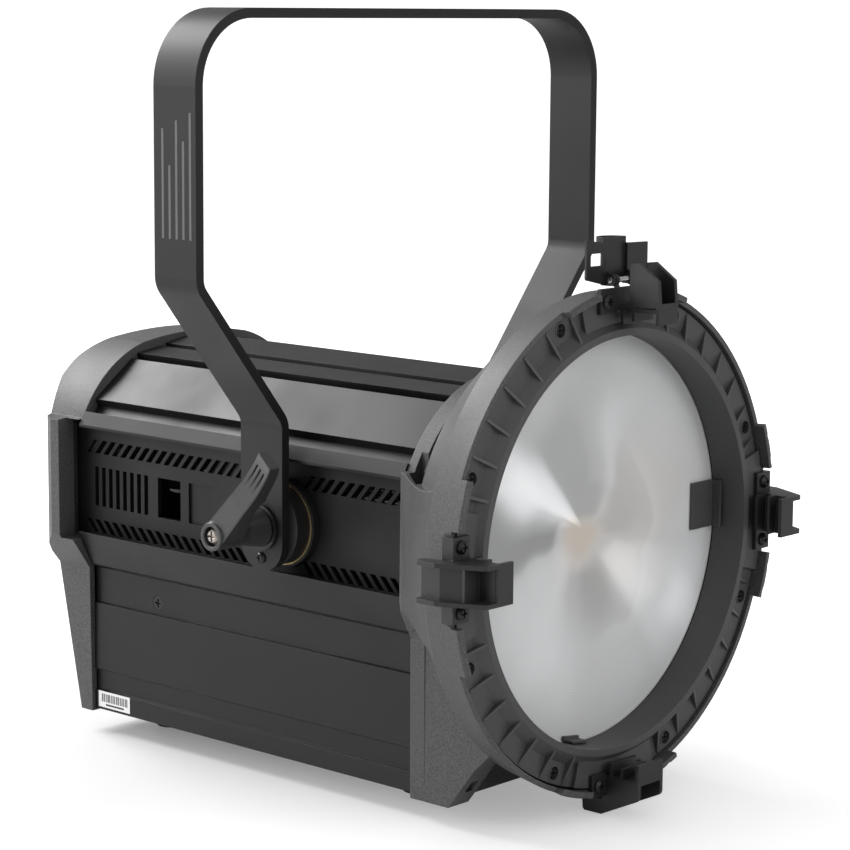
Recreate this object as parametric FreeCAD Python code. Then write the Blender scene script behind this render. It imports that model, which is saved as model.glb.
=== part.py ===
"""LED Fresnel spotlight with yoke, clamping levers, accessory clips and zoom carriage.

Every sub-part is drawn about the optical axis: x runs across the lamp, y runs back from the
front rim and z is the height above the optical axis. save() then moves it to the shared frame,
whose origin lies on the floor under the middle of the lamp.
"""
import FreeCAD, Part
import math
import os

V = FreeCAD.Vector

# Driving dimensions, millimetres
AXIS_HEIGHT = 140.0        # optical and tilt axis above the floor
FRONT_TIP = -25.4          # foremost point, the tip of the top clip
REAR_TIP = 364.0           # rearmost point, the safety eye
TILT_Y = 160.0             # tilt axis behind the front rim
OPENING_R = 105.0          # clear opening of the accessory ring
RING_R = 125.2             # outside of the accessory ring
COLLAR_R = 129.0           # outside of the cast collar
BODY_START = 69.5          # the extruded body runs between the two castings
BODY_END = 312.0
VENT_END = 326.6           # the vent panels run on behind the body's end, up to the wings
REAR_FACE = 345.0
SIDE_X = 78.8              # half width of the lower body
LIP_X = 90.0               # half width over the lips below the side recesses
BASE_Z = -127.0            # underside of the body
YOKE_X = 156.0             # half width of the yoke
YOKE_TOP = 264.5
TAIL_X = 97.0              # outer face of the yoke tails
BAR_WIDTH = 30.0
BAR_THICK = 5.0
STUD_R = 5.0               # M10 clamping stud
RUN = 0.05                 # radial running clearance
FAN_Z = 23.0               # height of the fan's axis
SCREW_Z = -84.0            # height of the zoom screw
ROD_X, ROD_Z = 58.0, -42.0  # guide rods
CARRIAGE_Y = 196.0         # front face of the carriage plate


# ---------------------------------------------------------------- helpers

def face(points):
    """Plane face through corner points; a triple (middle, end) entry marked "arc" is an arc."""
    edges = []
    here = points[0]
    for item in points[1:] + [points[0]]:
        if item[0] == "arc":
            edges.append(Part.Arc(here, item[1], item[2]).toShape())
            here = item[2]
        elif (item - here).Length > 1e-6:
            edges.append(Part.makeLine(here, item))
            here = item
    return Part.Face(Part.Wire(edges))


def lift(points, to_vector):
    """Turn pairs, and ("arc", pair, pair) entries, into vectors."""
    lifted = []
    for item in points:
        if item[0] == "arc":
            lifted.append(("arc", to_vector(*item[1]), to_vector(*item[2])))
        else:
            lifted.append(to_vector(*item))
    return lifted


def prism_x(points, x0, x1):
    """Outline of (y, z) pairs, extruded from x0 to x1."""
    return face(lift(points, lambda y, z: V(x0, y, z))).extrude(V(x1 - x0, 0, 0))


def prism_y(points, y0, y1):
    """Outline of (x, z) pairs, extruded from y0 to y1."""
    return face(lift(points, lambda x, z: V(x, y0, z))).extrude(V(0, y1 - y0, 0))


def prism_z(points, z0, z1):
    """Outline of (x, y) pairs, extruded from z0 to z1."""
    return face(lift(points, lambda x, y: V(x, y, z0))).extrude(V(0, 0, z1 - z0))


def box(x0, x1, y0, y1, z0, z1):
    return Part.makeBox(x1 - x0, y1 - y0, z1 - z0, V(x0, y0, z0))


def turned(points, sweep=360.0):
    """Outline of (radius, y) pairs, turned about the optical axis."""
    section = face(lift(points, lambda r, y: V(r, y, 0)))
    return section.revolve(V(0, 0, 0), V(0, 1, 0), sweep)


def rod_x(r, x0, x1, y=0.0, z=0.0):
    return Part.makeCylinder(r, x1 - x0, V(x0, y, z), V(1, 0, 0))


def rod_y(r, y0, y1, x=0.0, z=0.0):
    return Part.makeCylinder(r, y1 - y0, V(x, y0, z), V(0, 1, 0))


def rod_z(r, z0, z1, x=0.0, y=0.0):
    return Part.makeCylinder(r, z1 - z0, V(x, y, z0), V(0, 0, 1))


def cone_y(r0, r1, y0, y1, x=0.0, z=0.0):
    return Part.makeCone(r0, r1, y1 - y0, V(x, y0, z), V(0, 1, 0))


def cone_x(r0, r1, x0, x1, y=0.0, z=0.0):
    return Part.makeCone(r0, r1, x1 - x0, V(x0, y, z), V(1, 0, 0))


def around(shape, degrees):
    """Copy turned about the optical axis; 90 degrees takes +X to +Z."""
    copy = shape.copy()
    copy.rotate(V(0, 0, 0), V(0, 1, 0), -degrees)
    return copy


def mirrored(shape):
    """Copy on the other side of the lamp."""
    return shape.mirror(V(0, 0, 0), V(1, 0, 0))


def both(half):
    """A half outline of (x, z) pairs from top to bottom, closed with its mirror image."""
    return half + [(-x, z) for x, z in reversed(half)]


def fuse(first, *others):
    return first.fuse(list(others)).removeSplitter()


def save(node, *solids):
    """Move to the shared frame and write one STEP file."""
    shape = solids[0] if len(solids) == 1 else Part.makeCompound(list(solids))
    shape = shape.copy()
    shape.translate(V(0, -(FRONT_TIP + REAR_TIP) / 2, AXIS_HEIGHT))
    shape.exportStep("parts/" + node + ".step")


def arch(grow=0.0, drop=0.0):
    """Hood outline shared by both castings: a flat top arc, drop lower, and two shoulder arcs."""
    shoulder_x, shoulder_z = 40.0, 79.3 - drop / 2 + grow
    foot_x, foot_z = 85.5 + grow, 39.0
    middle = (67.0 + 0.7 * grow, 63.2 + 0.7 * grow)
    return [
        (-foot_x, foot_z),
        ("arc", (-middle[0], middle[1]), (-shoulder_x, shoulder_z)),
        ("arc", (0, 84.8 - drop + grow), (shoulder_x, shoulder_z)),
        ("arc", middle, (foot_x, foot_z)),
    ]


# ---------------------------------------------------------------- front casting and ring

CLIP_ANGLES = {"right": 0, "top": 90, "left": 180, "bottom": 270}
CLOSED_CLIPS = ("left", "right", "bottom")
RING_SCREW_R = 120.0
RING_SCREW_ANGLES = [22.5 + 90 * k + s for k in range(4) for s in (0, 45)]
SEAT_Y = 12.5              # the ring's flange bears here
SHOULDER_Y = 27.2          # the lens bears here
CONE_END = 50.5            # the cone behind the collar ends here above the ears
CLIP_SCREW_R, CLIP_SCREW_T = 123.0, 15.8
EAR_TOP, EAR_FOOT = 39.0, -30.0
PAD_START = 10.4           # degrees from a clip's middle to the tongues beside it
HEEL_HALF = 20.8           # half length of the closed clips' heels


def clip_screw_places():
    """(x, z) of the eight clip screws."""
    places = []
    for angle in CLIP_ANGLES.values():
        a = math.radians(angle)
        for t in (-CLIP_SCREW_T, CLIP_SCREW_T):
            x = CLIP_SCREW_R * math.cos(a) - t * math.sin(a)
            z = CLIP_SCREW_R * math.sin(a) + t * math.cos(a)
            places.append((x, z))
    return places


def ring_screw_places():
    return [(RING_SCREW_R * math.cos(math.radians(a)), RING_SCREW_R * math.sin(math.radians(a)))
            for a in RING_SCREW_ANGLES]


def collar():
    """Round collar with a chamfer; behind CONE_END its taper is cut away above the ears."""
    body = turned([
        (RING_R + 1.2, 3.5), (COLLAR_R, 3.5), (126.0, 21.0), (102.0, CONE_END),
        (86.5, BODY_START), (80.0, BODY_START), (95.0, 50.0), (105.0, 36.0),
        (105.0, SHOULDER_Y), (112.0, SHOULDER_Y), (112.0, SEAT_Y), (RING_R + 1.2, SEAT_Y)])
    return body.cut(box(-130.0, 130.0, CONE_END, BODY_START + 1, EAR_TOP, 130.0))


def clip_pads():
    """Tongues that carry the collar's band forward on both sides of each clip."""
    sweep, inner, outer, tip = 11.0, RING_R + 1.2, COLLAR_R + 0.7, -2.0
    tongue = turned([(inner, 6.0), (inner, tip), (outer - 1.4, tip),
                     ("arc", (outer - 0.4, tip + 0.4), (outer, tip + 1.4)), (COLLAR_R, 3.5),
                     (COLLAR_R - 0.6, 6.0)], sweep)
    return [around(tongue, angle + start + sweep) for angle in CLIP_ANGLES.values()
            for start in (PAD_START, -PAD_START - sweep)]


def heel_notch():
    """Gap in the collar's band for a closed clip's heel (+X position)."""
    return box(126.3, 131.0, 3.0, 8.0, -HEEL_HALF - 1.2, HEEL_HALF + 1.2)


def ear():
    """Side ear (+X) that blends the collar's round edge into the flat side of the body."""
    low, high, join = EAR_FOOT - 16.0, EAR_TOP, 66.0

    def section(y, inner, outer, radius):
        """Wire across the ear; its outer edge is an arc that bows out to x = outer."""
        def edge(z):
            return outer - radius + math.sqrt(radius ** 2 - z ** 2)
        outline = [(inner, low), (edge(low), low), ("arc", (outer, 0.0), (edge(high), high)),
                   (inner, high)]
        return face(lift(outline, lambda x, z: V(x, y, z))).OuterWire

    front = section(20.0, 110.0, 125.9, 125.9)
    blend = Part.makeLoft([front, section(join, 84.0, 92.0, 9000.0)], True, True)
    rear = prism_z([(84.0, BODY_START), (90.0, BODY_START), (92.0, join), (84.0, join)], low, high)
    block = fuse(blend, rear)
    corner = prism_x([(80.0, EAR_FOOT), (60.0, EAR_FOOT), (10.0, EAR_FOOT - 16.0),
                      (10.0, EAR_FOOT - 40.0), (80.0, EAR_FOOT - 40.0)], 80.0, 130.0)
    slope = prism_y([(82.0, -46.0), (90.5, EAR_FOOT), (140.0, EAR_FOOT), (140.0, -90.0),
                     (82.0, -90.0)], 10.0, 80.0)
    shoulder = prism_x([(64.0, EAR_TOP), ("arc", (47.0, EAR_TOP - 3.0), (24.0, EAR_TOP)),
                        (24.0, EAR_TOP + 1.0), (64.0, EAR_TOP + 1.0)], 80.0, 130.0)
    return block.cut(corner.common(slope)).cut(shoulder)


def rear_frame():
    """The casting's rear edge, a little proud of the body all round."""
    outline = arch() + [(90.0, 38.0), (90.5, -27.0), (82.0, -46.0), (81.5, BASE_Z - 2.0),
                        (-81.5, BASE_Z - 2.0), (-82.0, -46.0), (-90.5, -27.0), (-90.0, 38.0)]
    inside = [(74.0, -120.0), (74.0, 40.0), (50.0, 64.0), (0.0, 76.0), (-50.0, 64.0),
              (-74.0, 40.0), (-74.0, -120.0)]
    return prism_y(outline, 60.0, BODY_START).cut(prism_y(inside, 59.0, BODY_START + 1.0))


def neck():
    """Recessed neck that joins the cone to the rear edge above the ears."""
    low, front = 16.0, 46.5
    above = box(-110.0, 110.0, 40.0, BODY_START, low, 110.0)
    web = turned([(66.0, front), (103.0, front), (101.0, 50.4), (66.0, 50.4)]).common(above)
    tube = prism_y(arch(-3.0), front, 61.0).cut(prism_y(arch(-7.0), front - 1.0, 62.0))
    side = box(75.5, 79.5, front, 61.0, low, EAR_TOP + 0.5)
    return fuse(web, tube, side, mirrored(side))


def ear_pocket():
    """Hollow between the neck and the back of the ear (+X side)."""
    return prism_z([(80.0, 64.2), (89.6, 64.2), (99.5, 50.6), (80.0, 50.6)], 18.0, 130.0)


def legs():
    """Two front legs with a wall set back between them."""
    side = [(BODY_START, -44.0), (BODY_START, BASE_Z - 2.0), (44.0, BASE_Z - 2.0),
            (27.0, -106.5), (17.0, -97.0), (17.0, -60.0), (50.0, -44.0)]
    leg = prism_x(side, 66.0, 81.5)
    leg = leg.cut(prism_x([(66.0, -50.0), (66.0, -123.0), (47.0, -123.0), (33.0, -104.0),
                           (33.0, -60.0)], 65.0, 76.0))
    slot = box(70.0, 76.0, 25.0, 45.0, -121.0, -115.0)
    wall = box(-70.0, 70.0, 52.0, 56.0, BASE_Z - 2.0, -60.0)
    return [leg.cut(slot), mirrored(leg.cut(slot)), wall]


def front_casting():
    body = fuse(collar(), *clip_pads())
    body = fuse(body, ear(), mirrored(ear()), rear_frame(), *legs())
    body = fuse(body.cut([ear_pocket(), mirrored(ear_pocket())]), neck())
    body = body.cut([around(heel_notch(), CLIP_ANGLES[side]) for side in CLOSED_CLIPS])
    body = body.cut(turned([(0, -1), (RING_R + 1.2, -1), (RING_R + 1.2, SEAT_Y), (112, SEAT_Y),
                            (112, SHOULDER_Y), (105, SHOULDER_Y), (105, 36), (98, 45),
                            (66, 46), (66, BODY_START + 1), (0, BODY_START + 1)]))
    holes = [rod_y(2.1, SEAT_Y - 1, SEAT_Y + 9, x, z) for x, z in ring_screw_places()]
    holes += [rod_y(2.1, SEAT_Y - 1, SEAT_Y + 5, x, z) for x, z in clip_screw_places()]
    return body.cut(holes)


def accessory_ring():
    """Moulded ring: inner collar, flange with gusset ribs, screw bosses and clip seats."""
    floor = 5.5
    ring = turned([(OPENING_R, 0), (108.6, 0), (109.8, 1.2), (114.0, floor), (RING_R, floor),
                   (RING_R, SEAT_Y), (111.8, SEAT_Y), (109.0, 14.0), (109.0, 20.0),
                   (OPENING_R, 20.0)])
    gusset = face([V(108.0, 0.5, -0.8), V(109.9, 0.9, -0.8), V(124.4, 5.0, -0.8),
                   V(124.4, 6.5, -0.8), V(108.0, 6.5, -0.8)]).extrude(V(0, 0, 1.6))
    ribs = [around(gusset, 90 * quarter + 18.45 + 8.85 * k)
            for quarter in range(4) for k in range(7)]
    bosses = [rod_y(4.2, 5.1, 7.0, x, z) for x, z in ring_screw_places()]
    seat = turned([(111.5, 3.0), (RING_R, 3.0), (RING_R, 6.5), (111.5, 6.5)], 30.0)
    seats = [around(seat, angle + 15.0) for angle in CLIP_ANGLES.values()]
    ring = fuse(ring, *(ribs + bosses + seats))
    holes = [rod_y(2.2, 0, SEAT_Y + 1, x, z) for x, z in ring_screw_places()]
    holes += [rod_y(3.5, 0, 8.0, x, z) for x, z in ring_screw_places()]
    holes += [rod_y(2.1, 0, SEAT_Y + 1, x, z) for x, z in clip_screw_places()]
    return ring.cut(holes)


def socket_screw(head_r, head_h, shank_r, length):
    """Pan-head screw along +Y with its seat at y = 0 and a cross recess."""
    head = turned([(0, -head_h), (head_r * 0.6, -head_h), (head_r, -head_h * 0.4),
                   (head_r, 0), (shank_r, 0), (shank_r, length), (0, length)])
    arm = head_r * 0.62
    cross = fuse(box(-arm, arm, -head_h - 1, -head_h * 0.45, -0.5, 0.5),
                 box(-0.5, 0.5, -head_h - 1, -head_h * 0.45, -arm, arm))
    return head.cut(cross)


def placed(shape, x, y, z):
    copy = shape.copy()
    copy.translate(V(x, y, z))
    return copy


def fresnel_lens():
    """Stepped lens: concentric saw-tooth rings round a small convex centre."""
    front, back, rim_r, pitch, depth = 21.2, 26.0, 108.5, 4.0, 1.2
    outline = [(0, back), (0, front)]
    count = int(103.0 / pitch)
    outline.append((pitch, front + 0.5))
    for k in range(1, count):
        outline.append((pitch * k, front + 0.3))
        outline.append((pitch * (k + 1), front + 0.3 + depth * (0.3 + 0.7 * k / count)))
    outline += [(pitch * count, front), (rim_r, front), (rim_r, back)]
    return turned(outline)


def lens_gaskets():
    front = turned([(OPENING_R + 0.5, 20.1), (108.8, 20.1), (108.8, 21.1),
                    (OPENING_R + 0.5, 21.1)])
    return front, placed(front, 0, 6.0, 0)


def lens_clamps():
    """Bent tabs that hold the lens against its seat: a long one on the right, three short ones."""
    def tab(reach, wall, low, high):
        return prism_z([(reach, 21.1), (wall, 21.1), (wall, 14.0), (wall - 1.2, 14.0),
                        (wall - 1.2, 19.6), (reach, 19.6)], low, high)

    short = tab(101.8, 104.4, -6.0, 6.0)
    return [tab(85.0, 103.2, -8.0, 17.0)] + [around(short, angle) for angle in (98, 180, 262)]


# ---------------------------------------------------------------- accessory clips and latch

SHEET = 2.2                # clip plates
SIDE_HALF = 10.2           # half width of the closed clips
TOP_HALF = 7.6             # half width of the open clip
LATCH_Y, LATCH_R = 4.0, 133.0      # latch pin, behind the top clip


def channel_walls(half):
    """Two thin walls that part the accessory channels (+X position)."""
    return [box(111.6, 120.0, -3.4, -1.6, -half, half),
            box(113.4, 120.0, -10.2, -8.6, -half, half)]


def clip_foot(reach):
    """Foot on the ring, with two screw ears."""
    foot = box(117.0, reach, 0.6, 2.9, -HEEL_HALF, HEEL_HALF)
    return foot.cut([rod_y(2.1, 0, 4, CLIP_SCREW_R, t) for t in (-CLIP_SCREW_T, CLIP_SCREW_T)])


def side_clip():
    """Closed clip, drawn at the +X position: flanges, floor, web, walls, foot and heel."""
    flange = [(118.6, -20.3), (126.5, -20.3), ("arc", (128.0, -19.7), (129.0, -18.6)),
              (139.3, 3.0), (139.3, 14.0), (138.3, 15.0), (133.3, 15.4), (131.2, 8.0),
              (131.2, 2.9), (117.0, 2.9), (117.0, 0.6), (118.6, 0.6)]
    inner = SIDE_HALF - 0.5
    plates = [prism_z(flange, SIDE_HALF - SHEET, SIDE_HALF),
              prism_z(flange, -SIDE_HALF, SHEET - SIDE_HALF)]
    floor = box(119.0, 121.0, -18.6, 2.5, -inner, inner)
    rise = box(120.0, 131.5, -9.0, -7.4, -inner, inner)
    lip = box(109.8, 120.6, -20.3, -18.2, -SIDE_HALF, SIDE_HALF)
    web = prism_z([(135.6, 14.5), (133.6, 14.5), (133.4, 3.4), (129.0, -7.5), (131.0, -8.2),
                   (135.6, 3.0)], -inner, inner)
    heel = box(126.6, 128.8, 0.6, 7.6, -HEEL_HALF, HEEL_HALF)
    foot = clip_foot(128.8)
    return fuse(plates[0], plates[1], floor, rise, lip, web, heel, foot,
                *channel_walls(SIDE_HALF))


def top_clip():
    """Open clip, drawn at the +X position, with two posts for the latch pin."""
    flange = [(117.0, 2.9), (117.0, 0.6), (119.6, -1.0), (121.0, FRONT_TIP), (134.1, -24.2),
              (142.2, -12.2), (141.5, -6.6), (120.9, -7.0), (120.3, 2.9)]
    inner = TOP_HALF - 0.5
    plates = [prism_z(flange, TOP_HALF - SHEET, TOP_HALF),
              prism_z(flange, -TOP_HALF, SHEET - TOP_HALF)]
    lip = box(112.6, 123.0, FRONT_TIP + 0.2, FRONT_TIP + SHEET, -TOP_HALF, TOP_HALF)
    floor = box(118.0, 120.0, -23.6, 2.5, -inner, inner)
    post = prism_z([(117.0, 0.6), (117.0, 2.9), (129.6, 2.9), (131.0, 6.4),
                    ("arc", (136.0, 4.0), (131.0, 1.6)), (129.0, 0.6)], 5.4, 7.4)
    body = fuse(plates[0], plates[1], lip, floor, post, placed(post, 0, 0, -12.8),
                clip_foot(129.4), *channel_walls(TOP_HALF))
    return body.cut(rod_z(1.6, -14, 14, LATCH_R, LATCH_Y))


def top_latch():
    """Bent sheet retainer, standing open: two wings, a shallow channel and a thumb loop."""
    y, z, t = LATCH_Y, LATCH_R, 1.2
    back = y + 5.0                     # front of the channel's floor
    left = prism_y([(-8.0, z - 3.0), (-23.0, z + 0.4), ("arc", (-24.2, z + 0.9),
                    (-24.6, z + 2.0)), (-24.6, z + 20.4), (-8.0, z + 17.8)], y + 3.0, y + 3.0 + t)
    left = left.cut(box(-21.2, -12.2, y, y + 10.0, z + 7.2, z + 13.4))
    right = prism_y([(8.0, z - 3.0), (22.0, z + 0.6), ("arc", (24.0, z + 2.0), (24.6, z + 4.0)),
                     (24.6, z + 17.0), (8.0, z + 17.4)], y + 3.0, y + 3.0 + t)
    cheek = fuse(prism_x([(y, z - 3.0), (back + t, z - 3.0), (back + t, z + 17.4),
                          (y + 3.0, z + 17.4), (y + 3.0, z + 4.0), (y, z + 3.0)], 8.0, 9.2),
                 rod_x(3.0, 8.0, 9.2, y, z))
    channel = box(-9.2, 9.2, back, back + t, z - 2.0, z + 20.6)
    loop = rod_z(9.2, z + 17.0, z + 20.6, 0.0, back).cut(rod_z(8.0, z, z + 30.0, 0.0, back))
    loop = loop.common(box(-10.0, 10.0, back, back + 10.0, z, z + 30.0))
    return fuse(left, right, cheek, mirrored(cheek), channel, loop).cut(
        rod_x(1.5 + RUN, -15.0, 15.0, y, z))


# ---------------------------------------------------------------- body

PANEL_SCREW = (261.0, -59.2)       # (y, z) of the side panel's screw
FEET = [(sx * 40.0, y) for sx in (-1, 1) for y in (100.0, 290.0)]
ROOF = [(0.6, 78.6), (0.6, 79.6), (23.0, 75.6), (23.0, 70.8), (27.5, 70.4), (27.5, 74.3),
        (45.0, 71.8), (43.8, 66.8), (47.6, 64.6), (49.5, 69.0), (76.5, 48.9), (74.0, 44.6),
        (79.5, 39.5), (84.6, 42.8), (88.5, 36.0), (88.5, 34.6), (78.4, 34.6)]
ROOF_INSIDE = [(75.6, 34.6), (75.6, 37.5), (71.0, 42.0), (71.6, 49.0), (52.0, 61.5),
               (46.5, 61.2), (41.0, 63.8), (41.0, 69.3), (30.5, 70.8), (30.5, 67.6),
               (20.0, 68.0), (20.0, 73.0), (0.0, 76.5)]


def top_shell():
    """Extruded roof with sunk grooves between its panels."""
    outer = ROOF + ROOF_INSIDE
    outline = outer + [(-x, z) for x, z in reversed(outer[:-1])]
    return prism_y(outline, BODY_START + 0.1, BODY_END - 0.1)


def side_panel():
    """Extruded lower side (+X): lip, slope, sunk screw band, raised panel and base rail."""
    x = SIDE_X
    outline = [(76.0, -28.8), (78.0, -28.8), (LIP_X - 1.6, -24.0), (LIP_X, -24.0),
               (81.0, -43.5), (x + 0.4, -45.0), (x - 1.6, -46.0), (x - 1.6, -65.4), (x, -66.0),
               (x, -104.0), (x - 1.6, -104.8), (x - 1.6, -115.8), (x, -116.5), (x, BASE_Z),
               (74.4, BASE_Z), (74.4, -40.0), (76.0, -38.0)]
    panel = prism_y(outline, BODY_START + 0.1, BODY_END - 0.1)
    sink = cone_x(1.9, 4.4, x - 4.2, x - 1.4, PANEL_SCREW[0], PANEL_SCREW[1])
    hole = rod_x(2.1, 70.0, x, *PANEL_SCREW)
    return panel.cut([sink, hole])


def panel_screw():
    """Countersunk screw in the +X side panel."""
    face_x, arm, half_slot = SIDE_X - 1.7, 2.4, 0.5
    y, z = PANEL_SCREW
    body = fuse(cone_x(1.7, 4.0, face_x - 2.4, face_x, y, z), rod_x(1.7, 66.0, face_x - 2.0, y, z))
    bottom, top = face_x - 1.2, face_x + 1.0
    return body.cut([box(bottom, top, y - arm, y + arm, z - half_slot, z + half_slot),
                     box(bottom, top, y - half_slot, y + half_slot, z - arm, z + arm)])


def slot(y, z0, z1, lean, width):
    """Slanted slot through the +X vent panel."""
    return prism_x([(y, z0), (y + width, z0), (y + width + lean, z1), (y + lean, z1)],
                   70.0, 80.0)


def vent_panel():
    """Slotted panel in the side recess (+X): two slanted rows, a grille and two windows."""
    panel = box(74.6, 77.5, BODY_START + 0.2, VENT_END - 0.2, -28.5, 34.4)
    openings = []
    y = BODY_START + 8.0
    while y < VENT_END - 14.0:
        if abs(y + 5.0 - TILT_Y) > 12.0:
            openings.append(slot(y + 6.0, 18.6, 26.2, -6.5, 4.0))
            openings.append(slot(y, -26.4, -19.0, 6.5, 4.0))
        y += 7.0
    openings += [slot(268.0 + 5.8 * k, -11.0, 11.0, 0.0, 3.0) for k in range(8)]
    openings.append(box(70, 80, 242.0, 260.0, -11.0, 11.0))
    openings.append(box(76.0, 80, 217.0, 235.5, -11.0, 11.0))
    openings.append(rod_x(14.1, 70.0, 80.0, TILT_Y, 0.0))
    return panel.cut(openings)


def base_plate():
    plate = box(-74.2, 74.2, BODY_START + 0.2, BODY_END - 0.2, BASE_Z, BASE_Z + 2.0)
    holes = [rod_z(2.6, BASE_Z - 1, BASE_Z + 3, x, y) for x, y in FEET]
    vents = [box(-30.0, 30.0, y, y + 3.0, BASE_Z - 1, BASE_Z + 3)
             for y in range(130, 250, 8)]
    return plate.cut(holes + vents)


def rubber_foot(x, y):
    """Tapered foot with a plug through the base plate."""
    foot = Part.makeCone(9.0, 11.0, AXIS_HEIGHT + BASE_Z, V(x, y, -AXIS_HEIGHT), V(0, 0, 1))
    plug = rod_z(2.5, BASE_Z - 1, BASE_Z + 2, x, y)
    return fuse(foot, plug).cut(rod_z(4.0, -AXIS_HEIGHT - 1, -AXIS_HEIGHT + 4, x, y))


# ---------------------------------------------------------------- rear casting

PANEL_LOW = (321.0, -121.0)        # (y, z) of the slanted face's foot
PANEL_LEAN = 11.1                  # lean of the slanted face, degrees
WING_Y = 322.0                     # front of the side wings
HOOD_DROP = 3.8                    # crown below that of the front casting
REAR_SCREWS = [(sx * 64.0, z) for sx in (-1, 1) for z in (-10.0, 44.0)]
BUTTONS = {"menu": 2.0, "down": 18.0, "up": 34.0, "enter": 50.0}
BUTTON_V = 65.0                    # up the slanted face
SOCKETS = (-42.0, 8.0, 42.0)       # mains inlet, data in, data out
SOCKET_V = 26.0
FAN_HOLES = [(sx * 36.0, FAN_Z + sz * 36.0) for sx in (-1, 1) for sz in (-1, 1)]
EYE_X, EYE_Z, EYE_R = 12.0, 66.0, 3.0      # legs of the safety eye


def wing_pocket(wall=0.0):
    """Space in front of the +X wing, which is set back behind the end of the vent panel."""
    return prism_z([(74.5 - wall, BODY_END - 1.0), (97.0, BODY_END - 1.0), (97.0, WING_Y + wall),
                    (84.0, WING_Y + wall), (77.6, VENT_END + wall), (74.5 - wall, VENT_END + wall)],
                   -28.6 - wall, 38.6 + wall)


def rear_solid(inset):
    """Outside (inset 0) or inside of the rear casting."""
    d = inset
    outline = arch(-d, HOOD_DROP) + [
        (95.0 - d, 38.0 - d), (95.0 - d, -27.0 + d), (82.0 - d, -46.0),
        (81.0 - d, BASE_Z - 1.5 + d), (-81.0 + d, BASE_Z - 1.5 + d), (-82.0 + d, -46.0),
        (-95.0 + d, -27.0 + d), (-95.0 + d, 38.0 - d)]
    block = prism_y(outline, BODY_END, REAR_FACE - d)
    foot_y = 320.5 - d
    knee_y = REAR_FACE - 4.0 - d
    profile = [(BODY_END, BASE_Z - 5), (foot_y, BASE_Z - 5), (knee_y, -27.0 + d),
               (REAR_FACE - d, -20.0 + d), (REAR_FACE - d, 68.0 - d),
               ("arc", (340.5 - d, 77.5 - d), (327.0, 88.0)), (BODY_END, 88.0)]
    block = block.common(prism_x(profile, -100, 100))
    plan = [(-96, BODY_END), (-96, 327.0 - d), (-90.0 + d, 337.0 - d), (-72.0 + d, REAR_FACE),
            (72.0 - d, REAR_FACE), (90.0 - d, 337.0 - d), (96, 327.0 - d), (96, BODY_END)]
    return block.common(prism_z(plan, -140, 100))


def on_panel(shape):
    """Carry a shape from a flat layout (x across, z up the slope, y outwards) to the face."""
    copy = shape.copy()
    copy.rotate(V(0, 0, 0), V(1, 0, 0), -PANEL_LEAN)
    copy.translate(V(0, PANEL_LOW[0], PANEL_LOW[1]))
    return copy


def rear_casting():
    hollow = rear_solid(3.5).cut([wing_pocket(3.0), mirrored(wing_pocket(3.0))])
    shell = rear_solid(0.0).cut([hollow, wing_pocket(), mirrored(wing_pocket())])
    step = prism_y(arch(-1.0, HOOD_DROP), BODY_END, BODY_END + 3.0).cut(
        prism_y(arch(-7.5, HOOD_DROP), BODY_END - 1, BODY_END + 4.0))
    shell = fuse(shell, step)
    cuts = [rod_y(37.5, 330.0, 350.0, 0.0, FAN_Z),
            on_panel(box(-66.0, 66.0, -12.0, 12.0, 6.0, 80.0)),
            on_panel(box(-71.2, 71.2, -1.4, 12.0, 1.8, 86.2))]
    cuts += [rod_y(2.1, 335.0, 350.0, x, z) for x, z in REAR_SCREWS]
    cuts += [rod_y(2.4, 335.0, 350.0, x, z) for x, z in FAN_HOLES]
    cuts += [rod_y(EYE_R + RUN, 335.0, 350.0, sx * EYE_X, EYE_Z) for sx in (-1, 1)]
    return shell.cut(cuts)


def rear_screw():
    """Pan-head screw that points forward, with its seat at y = 0."""
    screw = socket_screw(4.0, 2.2, 1.9, 8.0)
    screw.rotate(V(0, 0, 0), V(0, 0, 1), 180)
    return screw


def rear_panel():
    plate = on_panel(box(-71.0, 71.0, -1.2, 0.6, 2.0, 86.0))
    cuts = [on_panel(box(-58.0, -14.0, -4, 4, 54.0, 76.0))]
    cuts += [on_panel(rod_y(4.3, -4, 4, x, BUTTON_V)) for x in BUTTONS.values()]
    cuts += [on_panel(rod_y(12.0, -4, 4, x, SOCKET_V)) for x in SOCKETS]
    return plate.cut(cuts)


def button(x):
    """Push button whose stem passes through the panel."""
    cap = fuse(rod_y(4.0, -3.0, 2.2, x, BUTTON_V), rod_y(3.4, 2.2, 2.8, x, BUTTON_V))
    return on_panel(cap)


def chassis_socket(x, pins):
    """Round chassis socket on a square flange, with pin holes."""
    flange = box(x - 13.0, x + 13.0, 0.7, 2.6, SOCKET_V - 15.5, SOCKET_V + 15.5)
    barrel = rod_y(11.6, -16.0, 2.6, x, SOCKET_V)
    body = fuse(flange, barrel).cut(rod_y(9.4, -6.0, 4.0, x, SOCKET_V))
    core = rod_y(7.6, -7.0, 1.6, x, SOCKET_V)
    holes = [rod_y(1.3, -4.0, 4.0, x + 4.2 * math.cos(math.radians(a)),
                   SOCKET_V + 4.2 * math.sin(math.radians(a)))
             for a in [90 + 360.0 * k / pins for k in range(pins)]]
    return on_panel(fuse(body, core).cut(holes))


def safety_eye():
    """Bail for the safety cable, with two legs through the rear casting."""
    bend_r, top_y = 9.0, REAR_TIP - EYE_R
    half = EYE_X - bend_r
    leg = rod_y(EYE_R, 338.0, top_y - bend_r, EYE_X, EYE_Z)
    bend = Part.makeTorus(bend_r, EYE_R, V(0, 0, 0), V(0, 0, 1)).common(box(0, 20, 0, 20, -5, 5))
    corner = placed(bend, half, top_y - bend_r, EYE_Z)
    bar = rod_x(EYE_R, -half, half, top_y, EYE_Z)
    return fuse(leg, mirrored(leg), corner, mirrored(corner), bar)


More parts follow.
